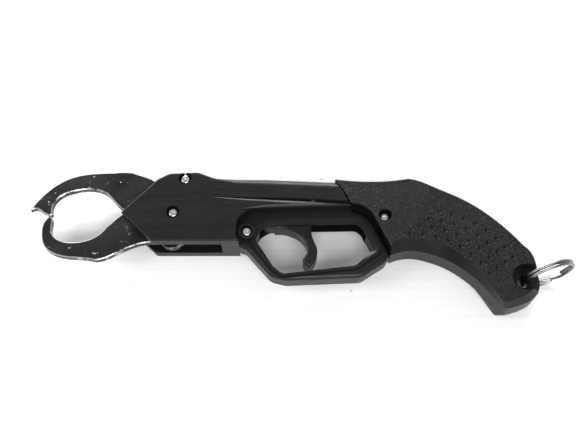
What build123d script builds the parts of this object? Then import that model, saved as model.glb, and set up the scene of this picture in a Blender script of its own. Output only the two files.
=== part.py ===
"""Pistol-shaped lip grip: two hooked jaws that a sliding trigger opens.

The tool lies on its right side. X runs along the barrel towards the handle, Y towards the
tool's back, Z through its thickness. The origin is the foot of the lower jaw's pivot axis
on the flat right side. Millimetres.
"""

from build123d import *
from math import acos, cos, pi, radians, sin, sqrt, tan
import os

os.makedirs("parts", exist_ok=True)

# Levels through the thickness
THICKNESS = 21.0
MID = THICKNESS / 2
CHEEK = 5.0  # housing side plates beside the jaws
GUARD_HALF = 5.5  # half the width of the trigger guard
CHANNEL_HALF = 4.4  # half the width of the slide's channel
TANG_HALF = 3.5  # half the thickness of the tongue inside the grip
JAW_HALF = 2.0  # half the thickness of the jaw plates

# Pivots and other axes, as (X, Y)
LOWER_PIVOT = (0.0, 0.0)
UPPER_PIVOT = (5.1, 17.6)
GUARD_SCREW = (35.1, -8.5)
GRIP_SCREW = (100.9, -1.3)
DOWEL = (66.7, 5.8)
LANYARD = (164.6, -32.6)

# Motion: the slide's travel opens each jaw by the same angle, at a constant ratio
SLIDE_TRAVEL = 16.0
JAW_ANGLE = 18.0
CAM_PIN_AT = (9.0, 1.0)
CAM_PIN_R = 1.5

# Pivot stack
SLEEVE_R = 2.25
WASHER_R = 4.5
HUB_R = 4.4
SCREW_R = 1.25
HEAD_R = 2.25
HEAD_H = 1.6
HEAD_SEAT = 18.5
COUNTERBORE_R = 3.1
INSERT_R = 2.0
INSERT_FLOOR = 1.2
RUNNING = 0.03  # radial clearance of a running fit

# Guide rod and return spring
ROD_Y = 10.3
ROD_R = 1.5
SPRING_R = 2.35
SPRING_WIRE_R = 0.45
SPRING_FROM = 49.3
SPRING_TO = 79.2
BUSH_R = 2.5
BUSH_FROM = 80.0
BUSH_TO = 84.0

# Lanyard ring
RING_R = 12.6
RING_WIRE_R = 0.8
RING_TILT = 18.0


def closed(points, radii):
    """A face inside straight runs with rounded corners, one radius for each corner."""
    with BuildSketch() as face:
        with BuildLine():
            FilletPolyline(*points, radius=radii, close=True)
        make_face()
    return face.sketch


def through(curves):
    """A face inside smooth curves laid end to end; a pair of points gives a straight run."""
    with BuildSketch() as face:
        with BuildLine():
            for points in curves:
                if len(points) == 2:
                    Line(*points)
                else:
                    Spline(*points)
        make_face()
    return face.sketch


# ---------------------------------------------------------------- outlines
BODY = closed(
    [(-24.8, -0.2), (-8.0, 17.4), (-2.6, 20.3), (11.2, 21.0), (20.0, 17.5), (44.0, 18.2),
     (77.2, 16.8), (79.6, 13.2), (81.0, 11.6), (85.2, 3.0), (85.2, 0.0), (35.0, -5.0),
     (32.0, -14.8), (-9.2, -14.8)],
    [1.2, 5.0, 5.0, 5.0, 12.0, 60.0, 0.0, 0.0, 0.0, 0.0, 0.0, 0.0, 0.0, 2.5],
)
GUARD = closed(
    [(30.2, -12.0), (31.0, -3.0), (37.0, 2.1), (60.0, 3.0), (87.0, 3.7), (94.4, -0.6),
     (103.2, -19.2), (100.4, -23.4), (89.0, -30.9), (53.6, -32.4), (46.6, -30.6),
     (34.8, -16.8), (31.8, -15.7)],
    [4.0, 6.0, 5.0, 60.0, 5.0, 6.0, 2.9, 2.9, 6.0, 9.0, 8.0, 4.0, 1.0],
)
OPENING = closed(
    [(37.0, -11.4), (40.0, -5.0), (44.4, -2.4), (60.0, -1.5), (88.4, -0.9), (92.2, -4.4),
     (98.2, -17.2), (86.8, -25.3), (52.0, -29.4), (47.6, -25.6)],
    [3.0, 4.0, 5.0, 60.0, 4.0, 6.0, 3.0, 5.0, 4.5, 6.0],
)
OPENING_MIDDLE = closed(
    [(39.0, -11.7), (41.8, -7.4), (45.6, -5.0), (60.0, -4.4), (87.6, -4.0), (90.0, -6.0),
     (95.4, -16.8), (86.6, -25.0), (52.1, -29.1), (47.9, -25.5)],
    [3.0, 4.0, 5.0, 60.0, 4.0, 6.0, 3.0, 5.0, 4.5, 6.0],
)
FLARE = 0.8  # depth of the slope from the opening's rim to its narrower middle
HOUSING_SLOT = closed(
    [(-45.0, -45.0), (23.2, -45.0), (23.2, -11.9), (29.3, -11.9), (29.3, 13.6),
     (16.5, 13.6), (16.5, 45.0), (-45.0, 45.0)],
    0.0,
)
SLIDE_CHANNEL = closed(
    [(28.0, -3.3), (41.0, -3.3), (41.0, -10.0), (92.9, -10.0), (92.9, -1.5), (88.0, 1.0),
     (84.5, 4.4), (80.0, 4.4), (80.0, 13.4), (28.0, 13.4)],
    0.0,
)
TANG = closed(
    [(76.0, 12.4), (107.0, 13.2), (107.0, -6.0), (94.0, -6.0), (88.0, 0.0), (76.0, 3.0)],
    [0.0, 3.0, 3.0, 0.0, 0.0, 0.0],
)


# the grip where it is widest, and its narrower flat side panel
GRIP_WALL = through([
    [(77.6, 18.8), (95.0, 17.6), (106.0, 18.3), (113.0, 19.4)],
    [(113.0, 19.4), (117.0, 18.7), (126.0, 14.7), (138.0, 8.9), (156.0, -4.4), (166.4, -15.5)],
    [(166.4, -15.5), (170.6, -21.6), (171.7, -28.0), (172.3, -34.4), (169.6, -40.2),
     (163.4, -44.2), (157.2, -46.1)],
    [(157.2, -46.1), (154.6, -46.1), (152.8, -44.5)],
    [(152.8, -44.5), (150.0, -41.3), (143.1, -32.8), (135.9, -26.6), (128.5, -22.2),
     (120.9, -19.4), (113.2, -18.0), (107.0, -18.9), (102.6, -20.6)],
    [(102.6, -20.6), (95.2, -0.9)],
    [(95.2, -0.9), (92.0, 2.2), (87.6, 4.2), (85.0, 4.5)],
    [(85.0, 4.5), (81.3, 11.8)],
    [(81.3, 11.8), (80.0, 13.4)],
    [(80.0, 13.4), (77.6, 16.9)],
    [(77.6, 16.9), (77.6, 18.8)],
])
GRIP_PANEL = through([
    [(77.6, 16.9), (95.0, 15.7), (106.0, 16.3), (112.6, 17.3)],
    [(112.6, 17.3), (116.6, 16.5), (125.4, 12.6), (137.4, 6.8), (155.0, -6.4), (164.8, -17.2)],
    [(164.8, -17.2), (168.8, -22.6), (169.8, -28.0), (169.8, -34.0), (167.0, -38.9),
     (161.0, -42.6), (155.9, -44.2)],
    [(155.9, -44.2), (153.6, -44.8), (152.2, -43.6)],
    [(152.2, -43.6), (149.8, -39.8), (143.4, -30.0), (136.5, -22.8), (130.0, -17.6),
     (122.0, -14.9), (113.3, -13.7), (107.0, -14.4), (101.8, -18.0)],
    [(101.8, -18.0), (95.2, -0.9)],
    [(95.2, -0.9), (92.0, 2.2), (87.6, 4.2), (85.0, 4.5)],
    [(85.0, 4.5), (81.3, 11.8)],
    [(81.3, 11.8), (80.0, 13.4)],
    [(80.0, 13.4), (77.6, 16.2)],
    [(77.6, 16.2), (77.6, 16.9)],
])
GRIP_SHOULDER = 5.0  # depth of the slope from the side panel out to the grip's wall


# ---------------------------------------------------------------- jaw mechanism geometry
CENTRES = sqrt(UPPER_PIVOT[0] ** 2 + UPPER_PIVOT[1] ** 2)
TEETH_PER_TURN = 18
PITCH_R = CENTRES / 2
MODULE = 2 * PITCH_R / TEETH_PER_TURN
PRESSURE = radians(20)
BASE_R = PITCH_R * cos(PRESSURE)
TIP_R = PITCH_R + 0.9 * MODULE
ROOT_R = PITCH_R - 1.25 * MODULE
BACKLASH = 0.16
TOWARDS_UPPER = 73.84  # direction from the lower pivot to the upper one, degrees
TOOTH_PITCH = 360 / TEETH_PER_TURN


def involute(angle):
    return tan(angle) - angle


def flank(radius):
    """Half of a tooth's angular width at this radius, radians."""
    at_pitch = pi / (2 * TEETH_PER_TURN) - BACKLASH / (4 * PITCH_R)
    return at_pitch + involute(PRESSURE) - involute(acos(BASE_R / radius))


def polar(radius, angle):
    return (radius * cos(angle), radius * sin(angle))


def tooth():
    """One gear tooth that points along +X from its gear's centre."""
    radii = [BASE_R + (TIP_R - BASE_R) * k / 4 for k in range(5)]
    foot = ROOT_R - 0.8
    right = [polar(r, -flank(r)) for r in radii]
    left = [polar(r, flank(r)) for r in reversed(radii)]
    with BuildSketch() as face:
        with BuildLine():
            Line(polar(foot, -flank(BASE_R)), right[0])
            Spline(*right)
            Line(right[-1], left[0])
            Spline(*left)
            Line(left[-1], polar(foot, flank(BASE_R)))
            Line(polar(foot, flank(BASE_R)), polar(foot, -flank(BASE_R)))
        make_face()
    return face.sketch


def wedge(first, last):
    """A sector of the root circle between two directions in degrees."""
    middle = (first + last) / 2
    ends = [polar(ROOT_R, radians(a)) for a in (first, middle, last)]
    with BuildSketch() as face:
        with BuildLine():
            Line((0, 0), ends[0])
            ThreePointArc(*ends)
            Line(ends[2], (0, 0))
        make_face()
    return face.sketch


def cam_path(travel):
    """Where the cam pin lies in the closed lower jaw after this much travel."""
    turn = radians(-JAW_ANGLE * travel / SLIDE_TRAVEL)
    x, y = CAM_PIN_AT[0] + travel, CAM_PIN_AT[1]
    return (x * cos(turn) - y * sin(turn), x * sin(turn) + y * cos(turn))


def cam_edge(travel, aside):
    """A point beside the cam pin's path, to the left of it where aside is positive."""
    before, after = cam_path(travel - 0.01), cam_path(travel + 0.01)
    along = (Vector(*after) - Vector(*before)).normalized()
    return Vector(*cam_path(travel)) + Vector(-along.Y, along.X) * aside


def cam_band(half_width):
    """The cam pin's path in the jaw, widened to both sides, with round ends."""
    steps = [SLIDE_TRAVEL * k / 8 for k in range(9)]
    upper = [cam_edge(step, half_width) for step in steps]
    lower = [cam_edge(step, -half_width) for step in steps]
    with BuildSketch() as face:
        with BuildLine():
            Spline(*upper)
            Line(upper[-1], lower[-1])
            Spline(*reversed(lower))
            Line(lower[0], upper[0])
        make_face()
        with Locations(cam_path(0), cam_path(SLIDE_TRAVEL)):
            Circle(half_width)
    return face.sketch


# ---------------------------------------------------------------- body shells
def corner_cutter(stations):
    """Rounds an edge that runs along the barrel.

    Each station is (x, y of the wall, radius); a negative radius stands for a wall that
    faces down instead of up.
    """
    with BuildPart() as cutter:
        for x, wall, size in stations:
            radius, way = abs(size), (1 if size > 0 else -1)
            inner = wall - way * radius
            bend = (inner + way * radius * sin(pi / 4), THICKNESS - radius * (1 - cos(pi / 4)))
            with BuildSketch(Plane.YZ.offset(x)):
                with BuildLine():
                    ThreePointArc((inner, THICKNESS), bend, (wall, THICKNESS - radius))
                    Polyline((wall, THICKNESS - radius), (wall + way, THICKNESS - radius),
                             (wall + way, THICKNESS + 1), (inner, THICKNESS + 1),
                             (inner, THICKNESS))
                make_face()
        loft(ruled=True)
    return cutter.part


def crease_cutter():
    """A tapering groove under the barrel; the band below it rises out of it in a curve."""
    with BuildPart() as cutter:
        for x, y, depth in ((20.0, 7.9, 0.15), (34.0, 7.6, 0.7), (60.0, 7.0, 1.3),
                            (88.0, 5.6, 1.8)):
            reach = 2.1 * depth + 0.2
            level = THICKNESS + 0.02
            bottom = (y - 0.3 * depth, THICKNESS - depth)
            with BuildSketch(Plane.YZ.offset(x)):
                with BuildLine():
                    Line((y + 0.1 * depth, level), bottom)
                    ThreePointArc(bottom, (y - 0.3 * depth - 0.38 * reach,
                                           THICKNESS - 0.34 * depth), (y - reach, level))
                    Line((y - reach, level), (y + 0.1 * depth, level))
                make_face()
        loft(ruled=True)
    return cutter.part


def guard_half():
    """Half of the trigger guard: a rounded bar with a bead round its opening."""
    with BuildPart() as guard:
        with BuildSketch(Plane.XY.offset(MID)):
            add(GUARD)
        extrude(amount=GUARD_HALF)
        rim = guard.edges().filter_by(
            lambda e: abs(e.center().Z - MID - GUARD_HALF) < 0.01)
        fillet(rim, radius=2.1)
        with BuildSketch(Plane.XY.offset(MID + GUARD_HALF)):
            offset(OPENING, amount=2.3)
            offset(OPENING, amount=1.5, mode=Mode.SUBTRACT)
        extrude(amount=-0.6, mode=Mode.SUBTRACT)
    return guard.part


def body_half():
    """The left body shell, with the holes that both halves have."""
    with BuildPart() as half:
        with BuildSketch(Plane.XY.offset(MID)):
            add(BODY)
        extrude(amount=THICKNESS - MID)
        with BuildSketch(Plane.XY.offset(MID + GUARD_HALF)):
            add(GUARD)
        extrude(amount=THICKNESS, mode=Mode.SUBTRACT)

        fillet(half.edges().filter_by(lambda e: abs(e.center().Z - THICKNESS) < 0.01),
               radius=0.8)
        add(corner_cutter([(20.0, 17.6, 0.8), (30.0, 17.85, 3.2), (44.0, 18.2, 4.2),
                           (88.0, 16.35, 4.4)]), mode=Mode.SUBTRACT)
        add(corner_cutter([(33.0, 1.5, -0.3), (44.0, 2.25, -2.4), (62.0, 2.9, -2.9),
                           (88.0, 3.6, -2.9)]), mode=Mode.SUBTRACT)
        add(crease_cutter(), mode=Mode.SUBTRACT)

        # trigger guard
        add(guard_half())
        with BuildSketch(Plane.XY.offset(MID + GUARD_HALF)):
            with Locations(GUARD_SCREW):
                Circle(COUNTERBORE_R + 0.9)
        extrude(amount=2.0)

        # tongue that the grip shells clamp
        with BuildSketch(Plane.XY.offset(MID)):
            add(TANG)
        extrude(amount=TANG_HALF)

        # finger opening, wider at the faces than in the middle
        with BuildSketch(Plane.XY.offset(MID)):
            add(OPENING_MIDDLE)
        extrude(amount=THICKNESS, mode=Mode.SUBTRACT)
        with BuildSketch(Plane.XY.offset(MID + GUARD_HALF)):
            add(OPENING)
        with BuildSketch(Plane.XY.offset(MID + GUARD_HALF - FLARE)):
            add(OPENING_MIDDLE)
        loft(ruled=True, mode=Mode.SUBTRACT)

        # hollow between the cheeks, channel of the slide, pocket beside the spring
        with BuildSketch(Plane.XY.offset(MID)):
            add(HOUSING_SLOT)
        extrude(amount=MID - CHEEK, mode=Mode.SUBTRACT)
        with BuildSketch(Plane.XY.offset(MID)):
            add(SLIDE_CHANNEL)
        extrude(amount=CHANNEL_HALF, mode=Mode.SUBTRACT)
        with BuildSketch(Plane.XY.offset(MID)):
            with Locations((52.0, 9.6)):
                RectangleRounded(30.0, 6.5, 1.5)
        extrude(amount=THICKNESS - MID - 3.0, mode=Mode.SUBTRACT)

        # half round seats of the bush and the guide rod
        with BuildSketch(Plane.YZ.offset(BUSH_FROM)):
            with Locations((ROD_Y, MID)):
                Circle(BUSH_R)
        extrude(amount=BUSH_TO - BUSH_FROM, mode=Mode.SUBTRACT)
        with BuildSketch(Plane.YZ.offset(BUSH_TO)):
            with Locations((ROD_Y, MID)):
                Circle(ROD_R + 0.3)
        extrude(amount=30.0, mode=Mode.SUBTRACT)

        # dowel and the grip screw's hole
        with BuildSketch(Plane.XY.offset(MID)):
            with Locations(DOWEL):
                Circle(SCREW_R)
            with Locations(GRIP_SCREW):
                Circle(SCREW_R + 0.15)
        extrude(amount=THICKNESS, mode=Mode.SUBTRACT)
    return half.part


BODY_HALF = body_half()

with BuildPart() as left_body_shell:
    add(BODY_HALF)
    with BuildSketch(Plane.XY.offset(MID)):
        with Locations(LOWER_PIVOT, UPPER_PIVOT, GUARD_SCREW):
            Circle(SCREW_R + 0.05)
    extrude(amount=THICKNESS, mode=Mode.SUBTRACT)
    with BuildSketch(Plane.XY.offset(HEAD_SEAT)):
        with Locations(LOWER_PIVOT, UPPER_PIVOT):
            Circle(COUNTERBORE_R)
    extrude(amount=THICKNESS, mode=Mode.SUBTRACT)
    with BuildSketch(Plane.XY.offset(MID + GUARD_HALF - 0.4)):
        with Locations(GUARD_SCREW):
            Circle(COUNTERBORE_R - 0.3)
    extrude(amount=THICKNESS, mode=Mode.SUBTRACT)
left_body_shell.part.label = "left_body_shell"
export_step(left_body_shell.part, "parts/left_body_shell.step")

with BuildPart() as right_body_shell:
    mirror(BODY_HALF, about=Plane.XY.offset(MID))
    with BuildSketch(Plane.XY.offset(INSERT_FLOOR)):
        with Locations(LOWER_PIVOT, UPPER_PIVOT):
            Circle(INSERT_R)
    extrude(amount=MID, mode=Mode.SUBTRACT)
    with BuildSketch(Plane.XY.offset(MID - GUARD_HALF + INSERT_FLOOR)):
        with Locations(GUARD_SCREW):
            Circle(INSERT_R)
    extrude(amount=MID, mode=Mode.SUBTRACT)
right_body_shell.part.label = "right_body_shell"
export_step(right_body_shell.part, "parts/right_body_shell.step")

# ---------------------------------------------------------------- grip shells
def dimples():
    """Four curved rows of eight shallow round dimples, as places on the grip's face."""
    places = []
    for row in range(4):
        for column in range(8):
            turn = radians(82.1 + 3.2 * row - (7.64 + 0.34 * row) * column)
            reach = 44.5 - 1.33 * row
            places.append((120.8 - 2.33 * row + reach * cos(turn),
                           -44.1 - 2.47 * row + reach * sin(turn)))
    return places


def grip_half():
    """The left grip shell, with the pockets and holes that both halves have."""
    with BuildPart() as half:
        with BuildSketch(Plane.XY.offset(MID)):
            add(GRIP_WALL)
        extrude(amount=THICKNESS - MID - GRIP_SHOULDER)
        with BuildSketch(Plane.XY.offset(THICKNESS - GRIP_SHOULDER)):
            add(GRIP_WALL)
        with BuildSketch(Plane.XY.offset(THICKNESS)):
            add(GRIP_PANEL)
        loft(ruled=True)
        with BuildSketch(Plane.XY.offset(MID)):
            offset(GUARD, amount=0.5)
        extrude(amount=THICKNESS, mode=Mode.SUBTRACT)

        # pocket round the tongue, and the hollow behind it
        with BuildSketch(Plane.XY.offset(MID)):
            offset(TANG, amount=0.25)
        extrude(amount=TANG_HALF + 0.05, mode=Mode.SUBTRACT)
        with BuildSketch(Plane.XY.offset(MID)):
            add(closed([(110.0, 13.5), (116.0, 13.0), (134.0, 5.0), (155.0, -12.5),
                        (158.0, -24.0), (152.0, -32.0), (141.0, -21.0), (126.0, -13.8),
                        (110.0, -11.5)], 3.0))
        extrude(amount=7.5, mode=Mode.SUBTRACT)

        # lanyard hole in a round pocket that is open towards the end
        with BuildSketch(Plane.XY.offset(MID + 3.5)):
            with Locations(LANYARD):
                Circle(6.3)
            with Locations((LANYARD[0] + 8.0, LANYARD[1] + 0.3)):
                Rectangle(16.0, 12.0)
        extrude(amount=THICKNESS, mode=Mode.SUBTRACT)
        with BuildSketch(Plane.XY.offset(MID)):
            with Locations(LANYARD):
                Circle(3.1)
        extrude(amount=THICKNESS, mode=Mode.SUBTRACT)

        with Locations(*[(x, y, THICKNESS + 0.8) for x, y in dimples()]):
            Sphere(1.55, mode=Mode.SUBTRACT)
    return half.part


GRIP_HALF = grip_half()
GRIP_SEAT = MID + 5.5

with BuildPart() as left_grip_shell:
    add(GRIP_HALF)
    with BuildSketch(Plane.XY.offset(MID)):
        with Locations(GRIP_SCREW):
            Circle(SCREW_R + 0.05)
    extrude(amount=THICKNESS, mode=Mode.SUBTRACT)
    with BuildSketch(Plane.XY.offset(GRIP_SEAT)):
        with Locations(GRIP_SCREW):
            Circle(COUNTERBORE_R)
    extrude(amount=THICKNESS, mode=Mode.SUBTRACT)
left_grip_shell.part.label = "left_grip_shell"
export_step(left_grip_shell.part, "parts/left_grip_shell.step")

with BuildPart() as right_grip_shell:
    mirror(GRIP_HALF, about=Plane.XY.offset(MID))
    with BuildSketch(Plane.XY.offset(INSERT_FLOOR)):
        with Locations(GRIP_SCREW):
            Circle(INSERT_R)
    extrude(amount=MID, mode=Mode.SUBTRACT)
right_grip_shell.part.label = "right_grip_shell"
export_step(right_grip_shell.part, "parts/right_grip_shell.step")


# ---------------------------------------------------------------- jaws
BEVEL = 0.45


def face_edges(jaw):
    """The long edges round both faces of the part of a jaw that stands out in front."""
    return jaw.edges().filter_by(
        lambda e: abs(abs(e.center().Z - MID) - JAW_HALF) < 0.01 and e.center().X < -14)


with BuildPart() as upper_jaw:
    with BuildSketch(Plane.XY.offset(MID - JAW_HALF)):
        add(through([
            [(-70.4, 4.7), (-62.2, 15.3), (-52.7, 21.7), (-42.0, 24.2), (-30.5, 24.8)],
            [(-30.5, 24.8), (-26.0, 25.1), (-21.0, 24.3), (-10.0, 20.0)],
            [(-10.0, 20.0), (3.0, 20.6)],
            [(3.0, 20.6), (5.1, 17.6)],
            [(5.1, 17.6), (-2.9, 12.6)],
            [(-2.9, 12.6), (-6.0, 9.6)],
            [(-6.0, 9.6), (-19.5, 4.6)],
            [(-19.5, 4.6), (-23.6, 4.0)],
            [(-23.6, 4.0), (-29.0, 8.2), (-34.4, 13.6), (-40.0, 15.6), (-49.0, 15.0),
             (-56.0, 12.2), (-59.7, 7.2), (-59.4, 2.6)],
            [(-59.4, 2.6), (-60.4, 1.9), (-62.2, 2.3), (-65.0, 4.2), (-70.4, 4.7)],
        ]))
        with Locations(UPPER_PIVOT):
            Circle(HUB_R)
            add(wedge(180 + TOWARDS_UPPER - 40, 180 + TOWARDS_UPPER + 40))
        with Locations(*[Location((*UPPER_PIVOT, 0), (0, 0, 180 + TOWARDS_UPPER + a))
                         for a in (-1.5 * TOOTH_PITCH, -0.5 * TOOTH_PITCH,
                                   0.5 * TOOTH_PITCH, 1.5 * TOOTH_PITCH)]):
            add(tooth())
        with Locations(UPPER_PIVOT):
            Circle(SLEEVE_R + RUNNING, mode=Mode.SUBTRACT)
    extrude(amount=2 * JAW_HALF)
    chamfer(face_edges(upper_jaw), length=BEVEL)
upper_jaw.part.label = "upper_jaw"
export_step(upper_jaw.part, "parts/upper_jaw.step")

with BuildPart() as lower_jaw:
    with BuildSketch(Plane.XY.offset(MID - JAW_HALF)):
        add(through([
            [(-60.3, 1.5), (-63.0, -1.6), (-63.8, -7.6), (-61.9, -14.0), (-56.2, -18.3),
             (-47.0, -20.0), (-36.8, -21.3)],
            [(-36.8, -21.3), (-33.0, -20.5), (-28.0, -18.2), (-21.0, -14.7), (-10.0, -12.2)],
            [(-10.0, -12.2), (-4.0, -10.9)],
            [(-4.0, -10.9), (0.0, 0.0)],
            [(0.0, 0.0), (-4.4, 6.5)],
            [(-4.4, 6.5), (-21.5, 2.9)],
            [(-21.5, 2.9), (-24.8, 2.9)],
            [(-24.8, 2.9), (-31.5, -3.2), (-37.5, -9.2), (-47.5, -12.2), (-55.5, -10.7),
             (-59.2, -6.5), (-59.2, -0.6), (-60.3, 1.5)],
        ]))
        with Locations(LOWER_PIVOT):
            Circle(HUB_R + 1.5)
            add(wedge(TOWARDS_UPPER - 50, TOWARDS_UPPER + 32))
        with Locations((-0.9, -8.5)):
            Circle(6.5)
        with Locations(*[Location((*LOWER_PIVOT, 0), (0, 0, TOWARDS_UPPER + a))
                         for a in (-2 * TOOTH_PITCH, -TOOTH_PITCH, 0, TOOTH_PITCH)]):
            add(tooth())
        add(cam_band(CAM_PIN_R + 2.1))
        add(through([
            [(0.0, 0.0), (10.0, 0.0)], [(10.0, 0.0), (18.0, -3.0)],
            [(18.0, -3.0), (23.0, -9.5)], [(23.0, -9.5), (8.0, -9.0)],
            [(8.0, -9.0), (0.0, -12.0)], [(0.0, -12.0), (0.0, 0.0)],
        ]))
        add(cam_band(CAM_PIN_R + RUNNING + 0.02), mode=Mode.SUBTRACT)
        with Locations(LOWER_PIVOT):
            Circle(SLEEVE_R + RUNNING, mode=Mode.SUBTRACT)
    extrude(amount=2 * JAW_HALF)
    chamfer(face_edges(lower_jaw), length=BEVEL)
lower_jaw.part.label = "lower_jaw"
export_step(lower_jaw.part, "parts/lower_jaw.step")

with BuildPart() as pivot_sleeves:
    with BuildSketch(Plane.XY.offset(CHEEK)):
        with Locations(LOWER_PIVOT, UPPER_PIVOT):
            Circle(SLEEVE_R)
            Circle(SCREW_R + 0.05, mode=Mode.SUBTRACT)
    extrude(amount=THICKNESS - 2 * CHEEK)
pivot_sleeves.part.label = "pivot_sleeves"
export_step(pivot_sleeves.part, "parts/pivot_sleeves.step")

WASHER_T = MID - JAW_HALF - CHEEK - 0.1
with BuildPart() as jaw_washers:
    for level in (CHEEK + 0.05, THICKNESS - CHEEK - 0.05 - WASHER_T):
        with BuildSketch(Plane.XY.offset(level)):
            with Locations(LOWER_PIVOT, UPPER_PIVOT):
                Circle(WASHER_R)
                Circle(SLEEVE_R + 0.02, mode=Mode.SUBTRACT)
        extrude(amount=WASHER_T)
jaw_washers.part.label = "jaw_washers"
export_step(jaw_washers.part, "parts/jaw_washers.step")


# ---------------------------------------------------------------- screws and inserts
def button_screws(places, seat, tip):
    """Socket button head screws whose heads sit on the level called seat."""
    with BuildPart() as screws:
        for x, y in places:
            with BuildSketch(Plane.XY.offset(tip)):
                with Locations((x, y)):
                    Circle(SCREW_R)
            extrude(amount=seat - tip)
            with BuildSketch(Plane.XY.offset(seat)):
                with Locations((x, y)):
                    Circle(HEAD_R)
            extrude(amount=HEAD_H)
        rims = screws.edges().filter_by(GeomType.CIRCLE)
        fillet(rims.filter_by(lambda e: abs(e.center().Z - seat - HEAD_H) < 0.01), radius=0.9)
        with BuildSketch(Plane.XY.offset(seat + HEAD_H)):
            with Locations(*places):
                RegularPolygon(0.85, 6)
        extrude(amount=-1.0, mode=Mode.SUBTRACT)
    return screws.part


with BuildPart() as pivot_screws:
    add(button_screws([LOWER_PIVOT, UPPER_PIVOT], HEAD_SEAT, INSERT_FLOOR + 0.3))
pivot_screws.part.label = "pivot_screws"
export_step(pivot_screws.part, "parts/pivot_screws.step")

GUARD_SEAT = MID + GUARD_HALF - 0.4
with BuildPart() as guard_screw:
    add(button_screws([GUARD_SCREW], GUARD_SEAT, MID - GUARD_HALF + INSERT_FLOOR + 0.3))
guard_screw.part.label = "guard_screw"
export_step(guard_screw.part, "parts/guard_screw.step")

with BuildPart() as grip_screw:
    add(button_screws([GRIP_SCREW], GRIP_SEAT, INSERT_FLOOR + 0.3))
grip_screw.part.label = "grip_screw"
export_step(grip_screw.part, "parts/grip_screw.step")

INSERT_PLACES = [
    (LOWER_PIVOT, INSERT_FLOOR, CHEEK),
    (UPPER_PIVOT, INSERT_FLOOR, CHEEK),
    (GUARD_SCREW, MID - GUARD_HALF + INSERT_FLOOR, MID - 0.3),
    (GRIP_SCREW, INSERT_FLOOR, MID - TANG_HALF - 0.3),
]
with BuildPart() as threaded_inserts:
    for place, low, high in INSERT_PLACES:
        with BuildSketch(Plane.XY.offset(low)):
            with Locations(place):
                Circle(INSERT_R)
                Circle(SCREW_R, mode=Mode.SUBTRACT)
        extrude(amount=high - low)
threaded_inserts.part.label = "threaded_inserts"
export_step(threaded_inserts.part, "parts/threaded_inserts.step")

with BuildPart() as dowel_pin:
    with BuildSketch(Plane.XY.offset(3.0)):
        with Locations(DOWEL):
            Circle(SCREW_R)
    extrude(amount=THICKNESS - 6.0)
dowel_pin.part.label = "dowel_pin"
export_step(dowel_pin.part, "parts/dowel_pin.step")


# ---------------------------------------------------------------- slide and trigger
ARM_OUT = 4.0  # outer face of a yoke arm, from the middle
ARM_IN = 2.3  # inner face of a yoke arm, from the middle
LINK_PINS = [(40.2, 1.0), (45.0, 1.0)]

with BuildPart() as slide_yoke:
    with BuildSketch(Plane.XY.offset(MID - ARM_OUT)):
        add(closed([(5.6, -2.0), (47.6, -2.0), (47.6, 4.0), (5.6, 4.0)], 1.6))
    extrude(amount=2 * ARM_OUT)
    with BuildSketch(Plane.XY.offset(MID - ARM_IN)):
        with Locations((15.0, 1.0)):
            Rectangle(30.0, 12.0)
        with Locations((46.0, 1.0)):
            Rectangle(20.0, 12.0)
    extrude(amount=2 * ARM_IN, mode=Mode.SUBTRACT)
    with BuildSketch(Plane.XY.offset(0.0)):
        with Locations(CAM_PIN_AT):
            Circle(CAM_PIN_R)
        with Locations(*LINK_PINS):
            Circle(1.0)
    extrude(amount=THICKNESS, mode=Mode.SUBTRACT)
slide_yoke.part.label = "slide_yoke"
export_step(slide_yoke.part, "parts/slide_yoke.step")

with BuildPart() as cam_pin:
    with BuildSketch(Plane.XY.offset(MID - 5.0)):
        with Locations(CAM_PIN_AT):
            Circle(CAM_PIN_R)
    extrude(amount=10.0)
    for level in (MID - ARM_OUT - 0.6, MID + ARM_OUT + 0.1):
        with BuildSketch(Plane.XY.offset(level)):
            with Locations(CAM_PIN_AT):
                Circle(CAM_PIN_R)
                Circle(CAM_PIN_R - 0.4, mode=Mode.SUBTRACT)
        extrude(amount=0.5, mode=Mode.SUBTRACT)
cam_pin.part.label = "cam_pin"
export_step(cam_pin.part, "parts/cam_pin.step")

with BuildPart() as cam_pin_clips:
    for level in (MID - ARM_OUT - 0.6, MID + ARM_OUT + 0.1):
        with BuildSketch(Plane.XY.offset(level)):
            with Locations(CAM_PIN_AT):
                Circle(2.5)
                Circle(CAM_PIN_R - 0.4, mode=Mode.SUBTRACT)
            with Locations((CAM_PIN_AT[0] + 2.0, CAM_PIN_AT[1])):
                Rectangle(4.0, 1.4, mode=Mode.SUBTRACT)
        extrude(amount=0.5)
cam_pin_clips.part.label = "cam_pin_clips"
export_step(cam_pin_clips.part, "parts/cam_pin_clips.step")

with BuildPart() as trigger_pins:
    with BuildSketch(Plane.XY.offset(MID - ARM_OUT)):
        with Locations(*LINK_PINS):
            Circle(1.0)
    extrude(amount=2 * ARM_OUT)
trigger_pins.part.label = "trigger_pins"
export_step(trigger_pins.part, "parts/trigger_pins.step")

CARRIAGE_HALF = 4.2
HOOK_HALF = 4.9
NUT_FROM = 41.2
with BuildPart() as finger_hook:
    with BuildSketch(Plane.XY.offset(MID - HOOK_HALF)):
        add(closed([(48.0, -5.0), (48.0, -6.1), (52.9, -6.0), (60.1, -8.8), (63.6, -13.6),
                    (64.3, -17.6), (61.6, -22.2), (62.9, -25.3), (66.5, -24.6),
                    (69.4, -17.8), (65.8, -9.6), (66.2, -5.0)],
                   [0.0, 0.5, 12.0, 9.0, 7.0, 4.0, 1.7, 2.0, 2.8, 8.0, 9.0, 0.0]))
    extrude(amount=2 * HOOK_HALF)
    faces = finger_hook.edges().filter_by(
        lambda e: abs(abs(e.center().Z - MID) - HOOK_HALF) < 0.01 and e.center().Y < -5.1)
    fillet(faces, radius=0.9)

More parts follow.
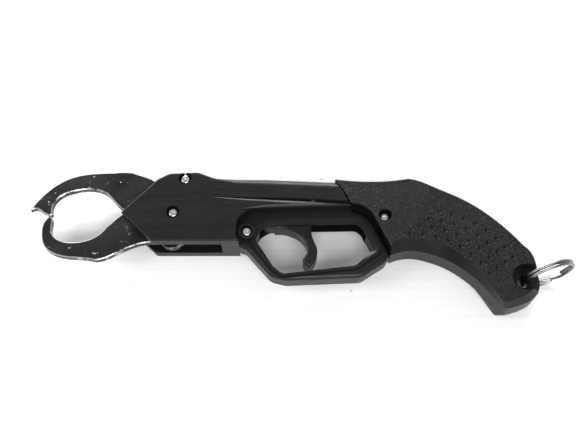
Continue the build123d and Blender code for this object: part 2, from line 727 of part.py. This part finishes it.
with BuildPart() as trigger:
    # carriage that runs in the channel
    with BuildSketch(Plane.XY.offset(MID - CARRIAGE_HALF)):
        add(closed([(43.0, -5.2), (66.2, -5.2), (66.2, 3.6), (48.0, 3.6), (48.0, -2.3),
                    (43.0, -2.3)], 0.5))
    extrude(amount=2 * CARRIAGE_HALF)
    # lug between the yoke's arms, with the post that holds the guide rod
    with BuildSketch(Plane.XY.offset(MID - ARM_IN + 0.05)):
        add(closed([(37.2, -3.0), (50.0, -3.0), (50.0, 3.6), (48.5, 5.0), (48.5, 12.9),
                    (43.6, 12.9), (43.6, 5.0), (37.2, 4.0)],
                   [1.0, 0.0, 0.0, 1.0, 1.0, 1.0, 2.0, 1.0]))
    extrude(amount=2 * ARM_IN - 0.1)
    add(finger_hook.part)
    with BuildSketch(Plane.XY.offset(0.0)):
        with Locations(*LINK_PINS):
            Circle(1.0)
    extrude(amount=THICKNESS, mode=Mode.SUBTRACT)
    with BuildSketch(Plane.YZ.offset(30.0)):
        with Locations((ROD_Y, MID)):
            Circle(ROD_R)
    extrude(amount=30.0, mode=Mode.SUBTRACT)
trigger.part.label = "trigger"
export_step(trigger.part, "parts/trigger.step")

with BuildPart() as guide_rod:
    with BuildSketch(Plane.YZ.offset(NUT_FROM - 0.6)):
        with Locations((ROD_Y, MID)):
            Circle(ROD_R)
    extrude(amount=45.5)
    chamfer(guide_rod.edges(), length=0.3)
guide_rod.part.label = "guide_rod"
export_step(guide_rod.part, "parts/guide_rod.step")

with BuildPart() as rod_nut:
    with BuildSketch(Plane.YZ.offset(NUT_FROM)):
        with Locations((ROD_Y, MID)):
            RegularPolygon(2.75, 6, major_radius=False, rotation=30)
            Circle(ROD_R, mode=Mode.SUBTRACT)
    extrude(amount=2.4)
rod_nut.part.label = "rod_nut"
export_step(rod_nut.part, "parts/rod_nut.step")


def rod_washer(start, length, outer, bore):
    """A ring on the guide rod's axis."""
    with BuildPart() as ring:
        with BuildSketch(Plane.YZ.offset(start)):
            with Locations((ROD_Y, MID)):
                Circle(outer)
                Circle(bore, mode=Mode.SUBTRACT)
        extrude(amount=length)
    return ring.part


with BuildPart() as spring_collar:
    add(rod_washer(SPRING_FROM - 0.8, 0.8, 2.9, ROD_R))
spring_collar.part.label = "spring_collar"
export_step(spring_collar.part, "parts/spring_collar.step")

with BuildPart() as spring_seat:
    add(rod_washer(SPRING_TO, BUSH_FROM - SPRING_TO, 3.0, ROD_R + 0.08))
spring_seat.part.label = "spring_seat"
export_step(spring_seat.part, "parts/spring_seat.step")

with BuildPart() as rod_bush:
    add(rod_washer(BUSH_FROM, BUSH_TO - BUSH_FROM, BUSH_R, ROD_R + 0.05))
rod_bush.part.label = "rod_bush"
export_step(rod_bush.part, "parts/rod_bush.step")

SPRING_TURNS = 9
with BuildPart() as return_spring:
    length = SPRING_TO - SPRING_FROM - 2 * SPRING_WIRE_R - 0.1
    start = SPRING_FROM + SPRING_WIRE_R + 0.05
    with BuildLine():
        coil = Helix(pitch=length / SPRING_TURNS, height=length, radius=SPRING_R,
                     center=(start, ROD_Y, MID), direction=(1, 0, 0))
    with BuildSketch(Plane(origin=coil @ 0, z_dir=coil % 0)):
        Circle(SPRING_WIRE_R)
    sweep(is_frenet=True)
return_spring.part.label = "return_spring"
export_step(return_spring.part, "parts/return_spring.step")

# ---------------------------------------------------------------- lanyard ring
with BuildPart() as split_ring:
    side = (sin(radians(RING_TILT)), -cos(radians(RING_TILT)), 0)
    centre = (LANYARD[0] + RING_R * cos(radians(RING_TILT)),
              LANYARD[1] + RING_R * sin(radians(RING_TILT)))
    for way in (-0.93, 0.93):
        origin = (centre[0] + way * RING_WIRE_R * side[0],
                  centre[1] + way * RING_WIRE_R * side[1],
                  RING_R + RING_WIRE_R)
        with Locations(Plane(origin=origin, z_dir=side)):
            Torus(RING_R, RING_WIRE_R)
split_ring.part.label = "split_ring"
export_step(split_ring.part, "parts/split_ring.step")
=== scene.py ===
"""Pistol-shaped lip grip: looks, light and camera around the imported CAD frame. Metres."""
import math

import bpy
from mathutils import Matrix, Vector


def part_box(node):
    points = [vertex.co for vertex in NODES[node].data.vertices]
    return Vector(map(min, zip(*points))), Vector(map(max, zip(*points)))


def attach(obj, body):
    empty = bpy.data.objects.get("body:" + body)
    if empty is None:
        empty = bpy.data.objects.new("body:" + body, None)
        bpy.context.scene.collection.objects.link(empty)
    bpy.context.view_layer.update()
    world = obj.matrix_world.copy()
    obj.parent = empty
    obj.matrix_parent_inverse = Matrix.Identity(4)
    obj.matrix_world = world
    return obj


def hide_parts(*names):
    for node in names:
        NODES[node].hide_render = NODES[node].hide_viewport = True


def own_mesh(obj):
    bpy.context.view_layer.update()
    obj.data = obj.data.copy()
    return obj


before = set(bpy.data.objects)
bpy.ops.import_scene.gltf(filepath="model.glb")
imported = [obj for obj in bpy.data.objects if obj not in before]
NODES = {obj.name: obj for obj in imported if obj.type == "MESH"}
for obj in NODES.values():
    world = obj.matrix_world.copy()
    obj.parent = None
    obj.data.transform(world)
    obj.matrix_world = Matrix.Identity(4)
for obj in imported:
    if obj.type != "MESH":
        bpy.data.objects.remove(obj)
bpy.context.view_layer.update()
MM = 0.001

# ---------------------------------------------------------------- driving values
# Split ring. Its plane is turned about Z by the same angle as the solid in the part.
RING_TILT = math.radians(18)
RING_WIRE = 0.78 * MM              # radius of the wire
RING_TURNS = 1.93
RING_START = math.radians(-40)     # where the wire's first end lies
RING_CROSSING = math.radians(46)   # the arc over which one turn crosses to the other
RING_SPACING = 1.02                # distance between the two turns, in wire diameters
RING_SQUARING = 0.03               # how far the wire's section is from round
RING_STEPS = 240

# Return spring
SPRING_WIRE = 0.42 * MM            # radius of the wire
SPRING_TURNS = 10.0
SPRING_CLOSED = 1.0                # closed turns at each end
SPRING_STEPS = 400

# Floor
FLOOR_HALF = 4.0
FLOOR_TOP = -0.1 * MM              # a little below the object, so that no faces coincide
PLANKS_PER_METRE = 210.0

# Camera: looks along +Y and down
CAMERA_TARGET = Vector((57.14, 0.16, 10.5)) * MM
CAMERA_ELEVATION = math.radians(67)
CAMERA_DISTANCE = 430 * MM
CAMERA_LENS = 54.4                 # focal length and sensor width, in millimetres
CAMERA_SENSOR = 36.0
CAMERA_NEAR = 0.01

# Light: each lamp's place, size and watts. All of them face the same point.
LIGHT_TARGET = (0.06, 0.0, 0.01)
LIGHTS = {
    "window": ((-0.10, 0.95, 0.42), (1.2, 0.30), 19.0),
    "front": ((0.25, -0.85, 0.85), (0.9, 0.7), 14.0),
    "side": ((-0.95, -0.10, 0.75), (0.5, 0.5), 5.0),
}
SKY_COLOUR = (0.95, 0.97, 1.0, 1.0)
SKY_STRENGTH = 0.50


# ---------------------------------------------------------------- shader helpers
class Shader:
    """A material whose nodes are added and linked by short calls.

    A value can be a number, a colour or another node's output.
    """

    def __init__(self, name):
        self.material = bpy.data.materials.new(name)
        self.material.use_nodes = True
        self.tree = self.material.node_tree
        self.surface = self.tree.nodes["Principled BSDF"]
        self.coords = self.node("ShaderNodeTexCoord").outputs["Object"]

    def node(self, kind, **values):
        """A new node, with its properties set."""
        made = self.tree.nodes.new(kind)
        for key, value in values.items():
            setattr(made, key, value)
        return made

    def link(self, source, target):
        """Links an output to an input."""
        self.tree.links.new(source, target)

    def fill(self, socket, value):
        """Sets an input to a constant, or links it where value is an output."""
        if isinstance(value, (int, float, tuple)):
            socket.default_value = value
        else:
            self.link(value, socket)

    def math(self, operation, *values, clamp=False):
        """A math node over the values."""
        made = self.node("ShaderNodeMath", operation=operation, use_clamp=clamp)
        for socket, value in zip(made.inputs, values):
            self.fill(socket, value)
        return made.outputs[0]

    def add(self, first, second):
        """The sum of two values."""
        return self.math("ADD", first, second)

    def times(self, first, second):
        """The product of two values."""
        return self.math("MULTIPLY", first, second)

    def stretched(self, scale):
        """Object coordinates scaled by a different amount along each axis."""
        made = self.node("ShaderNodeMapping")
        self.link(self.coords, made.inputs["Vector"])
        made.inputs["Scale"].default_value = scale
        return made.outputs[0]

    def noise(self, scale, detail=3.0, rough=0.5, vector=None):
        """Cloudy noise about 0.5, with scale patches to the metre."""
        made = self.node("ShaderNodeTexNoise")
        self.link(vector or self.coords, made.inputs["Vector"])
        made.inputs["Scale"].default_value = scale
        made.inputs["Detail"].default_value = detail
        made.inputs["Roughness"].default_value = rough
        return made.outputs["Fac"]

    def streaks(self, scale, detail, rough=0.5):
        """Noise drawn out along an axis, with its own patches to the metre on each."""
        return self.noise(1.0, detail, rough, vector=self.stretched(scale))

    def cells(self, scale):
        """The distance from the middle of the nearest cell, with scale cells to the metre."""
        made = self.node("ShaderNodeTexVoronoi", feature="F1")
        self.link(self.coords, made.inputs["Vector"])
        made.inputs["Scale"].default_value = scale
        return made.outputs["Distance"]

    def span(self, value, low, high, to_low=0.0, to_high=1.0):
        """value, mapped from low..high to to_low..to_high and held inside it."""
        made = self.node("ShaderNodeMapRange")
        for socket, number in zip(made.inputs, (value, low, high, to_low, to_high)):
            self.fill(socket, number)
        return made.outputs[0]

    def blend(self, amount, first, second):
        """The first colour where amount is 0, and the second where it is 1."""
        made = self.node("ShaderNodeMix", data_type="RGBA")
        self.fill(made.inputs["Factor"], amount)
        self.fill(made.inputs["A"], first)
        self.fill(made.inputs["B"], second)
        return made.outputs["Result"]

    def normal_z(self):
        """How far a face looks along Z, 1 on a flat side and 0 on a wall."""
        turned = self.node("ShaderNodeTexCoord").outputs["Normal"]
        parts = self.node("ShaderNodeSeparateXYZ")
        self.link(turned, parts.inputs[0])
        return self.math("ABSOLUTE", parts.outputs["Z"])

    def bump(self, height, distance, strength):
        """A normal pushed about by height, of which 1 stands for distance metres."""
        made = self.node("ShaderNodeBump")
        made.inputs["Distance"].default_value = distance
        made.inputs["Strength"].default_value = strength
        self.fill(made.inputs["Height"], height)
        return made.outputs[0]

    def finish(self, colour, rough, metal=None, normal=None, **fixed):
        """Fills the surface's inputs and gives the material. fixed holds its constants."""
        for name, value in (("Base Color", colour), ("Roughness", rough), ("Metallic", metal),
                            ("Normal", normal)):
            if value is not None:
                self.fill(self.surface.inputs[name], value)
        for name, value in fixed.items():
            self.surface.inputs[name.replace("_", " ")].default_value = value
        return self.material


def grey(value, warmth=0.0):
    """A near-neutral colour, bluish where warmth is negative."""
    return (value * (1 + warmth), value, value * (1 - warmth), 1.0)


# ---------------------------------------------------------------- materials
BLACK_DEEP = grey(0.0028, -0.14)
BLACK_SOFT = grey(0.0060, -0.12)


def shell_plastic():
    """Satin black moulded plastic with a fine grain, rub marks and a little dust."""
    s = Shader("shell_plastic")
    dust_cover, dust_colour = 0.22, grey(0.10)
    grain_depth = 0.03 * MM
    grain = s.noise(2600, detail=2.0)
    patches = s.noise(60, detail=4.0)
    rubs = s.streaks((90, 900, 400), detail=5.0, rough=0.7)
    dust = s.span(s.noise(1900, detail=1.0), 0.72, 0.80)
    colour = s.blend(s.span(patches, 0.35, 0.7), BLACK_DEEP, BLACK_SOFT)
    colour = s.blend(s.times(dust, dust_cover), colour, dust_colour)
    rough = s.add(s.span(rubs, 0.3, 0.75, 0.26, 0.44), s.span(grain, 0.3, 0.7, 0.0, 0.08))
    return s.finish(colour, rough, normal=s.bump(grain, grain_depth, 0.55),
                    Specular_IOR_Level=0.27)


def grip_plastic():
    """Black plastic, stippled on the flat panels and smooth on the walls and the back, with a
    painted highlight: light flecks on the panels stand for glints off the stipple.
    """
    s = Shader("grip_plastic")
    bead_share = 0.7
    on_panel, everywhere = 0.92, 0.08      # the stipple's strength, which adds up to 1
    # painted highlight: share and colour of the light flecks that stand for glints off the
    # stipple
    glint_cover, glint_colour = 0.45, grey(0.085, -0.06)
    panel_dullness = 0.10
    stipple_depth = 0.30 * MM
    panel = s.span(s.normal_z(), 0.90, 0.985)
    grains = s.noise(1500, detail=3.0, rough=0.62)
    height = s.math("SUBTRACT", grains, s.times(s.cells(1150), bead_share))
    stipple = s.times(height, s.add(s.times(panel, on_panel), everywhere))
    patches = s.noise(45, detail=3.0)
    # painted highlight: lighter grains on the flat panels stand for light glinting off the
    # stipple
    painted_glints = s.times(s.span(grains, 0.54, 0.70), panel)
    colour = s.blend(s.span(patches, 0.3, 0.7), BLACK_DEEP, BLACK_SOFT)
    colour = s.blend(s.times(painted_glints, glint_cover), colour, glint_colour)
    rough = s.add(s.span(patches, 0.3, 0.7, 0.34, 0.42), s.times(panel, panel_dullness))
    return s.finish(colour, rough, normal=s.bump(stipple, stipple_depth, 0.8),
                    Specular_IOR_Level=0.2)


def trigger_plastic():
    """Smooth black plastic, a little glossier than the shells."""
    s = Shader("trigger_plastic")
    grain_depth = 0.02 * MM
    waves = s.noise(110, detail=3.0)
    grain = s.noise(3000, detail=2.0)
    colour = s.blend(s.span(waves, 0.3, 0.7), grey(0.003, -0.08), grey(0.006, -0.08))
    return s.finish(colour, s.span(waves, 0.3, 0.7, 0.24, 0.38),
                    normal=s.bump(grain, grain_depth, 0.4), Specular_IOR_Level=0.3)


def jaw_coating():
    """Black coated steel, worn bright on its bevels, chipped, scratched and rubbed."""
    s = Shader("jaw_coating")
    bare_colour = grey(0.62, 0.01)
    bare_gloss = -0.08                     # added to the roughness of bare metal
    grain_share, coat_loss = 0.3, -0.9     # heights of the grain and of bare metal
    relief_depth = 0.06 * MM

    facing = s.normal_z()
    bevel = s.times(s.span(facing, 0.25, 0.45), s.span(facing, 0.97, 0.88))
    wear = s.span(s.noise(210, detail=5.0, rough=0.7), 0.36, 0.50)
    chips = s.span(s.noise(520, detail=4.0, rough=0.65), 0.665, 0.69)
    scratches = s.span(s.streaks((160, 1900, 300), detail=2.0, rough=0.6), 0.705, 0.73)
    scratches = s.times(scratches, s.span(s.noise(90), 0.48, 0.62))
    wall = s.span(facing, 0.25, 0.10)
    rubbed = s.times(wall, s.span(s.noise(260, detail=5.0, rough=0.7), 0.54, 0.66))
    marks = s.math("MAXIMUM", s.math("MAXIMUM", chips, scratches), rubbed)
    bare = s.math("MAXIMUM", s.times(bevel, wear), marks, clamp=True)

    cloud = s.noise(70, detail=5.0)
    coat = s.blend(s.span(cloud, 0.3, 0.7), grey(0.004, -0.04), grey(0.011, -0.03))
    rough = s.add(s.span(cloud, 0.3, 0.7, 0.30, 0.46), s.times(bare, bare_gloss))
    relief = s.add(s.times(s.noise(1700, detail=3.0), grain_share), s.times(bare, coat_loss))
    return s.finish(s.blend(bare, coat, bare_colour), rough, metal=bare,
                    normal=s.bump(relief, relief_depth, 0.7), Specular_IOR_Level=0.3)


def steel(name, tone, low, high, marks=0.5):
    """Bright metal with fine turning marks, clouded from low to high roughness."""
    s = Shader(name)
    shade = 0.86                           # the darker patches' share of the tone
    mark_depth = 0.01 * MM
    cloud = s.noise(500, detail=4.0)
    fine = s.streaks((2500, 2500, 6000), detail=3.0)
    colour = s.blend(s.span(cloud, 0.35, 0.65), grey(tone * shade, 0.02), grey(tone, 0.015))
    return s.finish(colour, s.span(cloud, 0.3, 0.7, low, high),
                    normal=s.bump(fine, mark_depth, marks), Metallic=1.0)


def brass():
    """Yellow metal, slightly clouded."""
    s = Shader("brass")
    cloud = s.noise(420, detail=4.0)
    colour = s.blend(s.span(cloud, 0.3, 0.7), (0.50, 0.34, 0.12, 1.0), (0.66, 0.47, 0.19, 1.0))
    return s.finish(colour, s.span(cloud, 0.3, 0.7, 0.24, 0.4), Metallic=1.0)


def floor_paint():
    """Pale smooth board with very faint planks and a few specks."""
    s = Shader("floor_paint")
    seam_cover, seam_colour = 0.16, grey(0.55, -0.01)
    speck_cover, speck_colour = 0.55, grey(0.35)
    soft = s.noise(3.0, detail=4.0)
    parts = s.node("ShaderNodeSeparateXYZ")
    s.link(s.coords, parts.inputs[0])
    row = s.math("FRACT", s.times(parts.outputs["Y"], PLANKS_PER_METRE))
    from_seam = s.math("ABSOLUTE", s.math("SUBTRACT", row, 0.5))
    seam = s.times(s.span(from_seam, 0.22, 0.08), s.streaks((2.0, 70.0, 1.0), detail=2.0))
    specks = s.span(s.noise(230, detail=1.0), 0.775, 0.80)
    colour = s.blend(s.span(soft, 0.3, 0.7), grey(0.84, -0.006), grey(0.88, -0.004))
    colour = s.blend(s.times(seam, seam_cover), colour, seam_colour)
    colour = s.blend(s.times(specks, speck_cover), colour, speck_colour)
    return s.finish(colour, s.span(soft, 0.3, 0.7, 0.42, 0.55))


SHELL = shell_plastic()
GRIP = grip_plastic()
TRIGGER = trigger_plastic()
JAW = jaw_coating()
SCREW = steel("screw_steel", 0.74, 0.18, 0.32)
INNER = steel("inner_steel", 0.60, 0.26, 0.42)
NICKEL = steel("ring_nickel", 0.26, 0.24, 0.34, marks=0.05)
BRASS = brass()
FINISHES = {
    "left_body_shell": SHELL, "right_body_shell": SHELL, "jaw_washers": SHELL,
    "left_grip_shell": GRIP, "right_grip_shell": GRIP, "trigger": TRIGGER,
    "upper_jaw": JAW, "lower_jaw": JAW, "threaded_inserts": BRASS, "rod_bush": BRASS,
    "pivot_screws": SCREW, "guard_screw": SCREW, "grip_screw": SCREW,
}
for node_name, node in NODES.items():
    node.data.materials.clear()
    node.data.materials.append(FINISHES.get(node_name, INNER))


# ---------------------------------------------------------------- mesh helpers
def add_object(name, data):
    """A new object in the scene."""
    made = bpy.data.objects.new(name, data)
    bpy.context.scene.collection.objects.link(made)
    return made


def tube(name, points, radius, material, sides, flat=0.0):
    """A closed round wire along points; flat squares its section a little."""
    count = len(points)
    verts, faces = [], []
    side = None
    for i, point in enumerate(points):
        along = (points[min(i + 1, count - 1)] - points[max(i - 1, 0)]).normalized()
        if side is None:
            side = along.orthogonal().normalized()
        side = (side - along * side.dot(along)).normalized()
        up = along.cross(side)
        for k in range(sides):
            turn = 2 * math.pi * k / sides
            reach = radius * (1 - flat * math.cos(4 * turn))
            verts.append(point + side * reach * math.cos(turn) + up * reach * math.sin(turn))
    for i in range(count - 1):
        for k in range(sides):
            a, b = i * sides + k, i * sides + (k + 1) % sides
            faces.append((a, b, b + sides, a + sides))
    faces.append(tuple(reversed(range(sides))))
    faces.append(tuple(range((count - 1) * sides, count * sides)))
    mesh = bpy.data.meshes.new(name)
    mesh.from_pydata([tuple(v) for v in verts], [], faces)
    for polygon in mesh.polygons:
        polygon.use_smooth = len(polygon.vertices) == 4
    mesh.materials.append(material)
    return add_object(name, mesh)


def smoothstep(x):
    """0 up to x = 0, 1 from x = 1, and a smooth rise between."""
    x = min(max(x, 0.0), 1.0)
    return x * x * (3 - 2 * x)


# ---------------------------------------------------------------- split ring
def split_ring():
    """Two turns of wire side by side, which cross over where the ring is split."""
    low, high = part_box("split_ring")
    centre = (low + high) / 2
    radius = (high.z - low.z) / 2 - RING_WIRE
    along = Vector((math.cos(RING_TILT), math.sin(RING_TILT), 0))
    across = Vector((math.sin(RING_TILT), -math.cos(RING_TILT), 0))
    points = []
    for i in range(RING_STEPS + 1):
        angle = RING_START + 2 * math.pi * RING_TURNS * i / RING_STEPS
        crossed = (angle - RING_START - 2 * math.pi + RING_CROSSING) / RING_CROSSING
        shift = (2 * smoothstep(crossed) - 1) * RING_WIRE * RING_SPACING
        points.append(centre + along * radius * math.cos(angle)
                      + Vector((0, 0, radius * math.sin(angle))) + across * shift)
    ring = tube("split_ring_wire", points, RING_WIRE, NICKEL, sides=20, flat=RING_SQUARING)
    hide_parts("split_ring")
    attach(ring, "ring_body")


split_ring()


# ---------------------------------------------------------------- return spring
def return_spring():
    """Compression spring with closed end coils, drawn at one length; the real one shortens as
    the trigger is pulled.
    """
    low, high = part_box("return_spring")
    axis = (low + high) / 2
    radius = (high.y - low.y) / 2 - SPRING_WIRE
    length = high.x - low.x - 2 * SPRING_WIRE
    closed_rise = 2 * SPRING_WIRE          # along the axis, in a turn that touches the next
    open_turns = SPRING_TURNS - 2 * SPRING_CLOSED
    open_rise = (length - 2 * closed_rise * SPRING_CLOSED) / open_turns
    points = []
    for i in range(SPRING_STEPS + 1):
        turn = SPRING_TURNS * i / SPRING_STEPS
        in_open = min(max(turn - SPRING_CLOSED, 0), open_turns)
        rise = closed_rise * (turn - in_open) + open_rise * in_open
        angle = 2 * math.pi * turn
        points.append(Vector((low.x + SPRING_WIRE + rise, axis.y + radius * math.cos(angle),
                              axis.z + radius * math.sin(angle))))
    spring = tube("return_spring_wire", points, SPRING_WIRE, INNER, sides=10)
    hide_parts("return_spring")
    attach(spring, "frame_body")
    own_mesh(spring)


return_spring()


# ---------------------------------------------------------------- floor, light, camera
def floor():
    """The board that the object lies on."""
    mesh = bpy.data.meshes.new("floor")
    corners = [(-1, -1), (1, -1), (1, 1), (-1, 1)]
    mesh.from_pydata([(x * FLOOR_HALF, y * FLOOR_HALF, FLOOR_TOP) for x, y in corners],
                     [], [(0, 1, 2, 3)])
    mesh.materials.append(floor_paint())
    add_object("floor", mesh)


def area_light(name, place, size, power):
    """A rectangular lamp at place, which faces the object."""
    data = bpy.data.lights.new(name, "AREA")
    data.shape = "RECTANGLE"
    data.size, data.size_y = size
    data.energy = power
    facing = (Vector(LIGHT_TARGET) - Vector(place)).to_track_quat("-Z", "Y")
    made = add_object(name, data)
    made.location = place
    made.rotation_euler = facing.to_euler()


def sky():
    """Even light from all around."""
    world = bpy.data.worlds.new("studio")
    world.use_nodes = True
    background = world.node_tree.nodes["Background"]
    background.inputs["Color"].default_value = SKY_COLOUR
    background.inputs["Strength"].default_value = SKY_STRENGTH
    bpy.context.scene.world = world


def camera():
    """The photograph's view."""
    data = bpy.data.cameras.new("camera")
    data.sensor_width = CAMERA_SENSOR
    data.lens = CAMERA_LENS
    data.clip_start = CAMERA_NEAR
    back = Vector((0, -math.cos(CAMERA_ELEVATION), math.sin(CAMERA_ELEVATION)))
    made = add_object("camera", data)
    made.location = CAMERA_TARGET + back * CAMERA_DISTANCE
    made.rotation_euler = (math.pi / 2 - CAMERA_ELEVATION, 0, 0)
    bpy.context.scene.camera = made


floor()
for light_name, (place, size, watts) in LIGHTS.items():
    area_light(light_name, place, size, watts)
sky()
bpy.context.scene.view_settings.view_transform = "Standard"
camera()
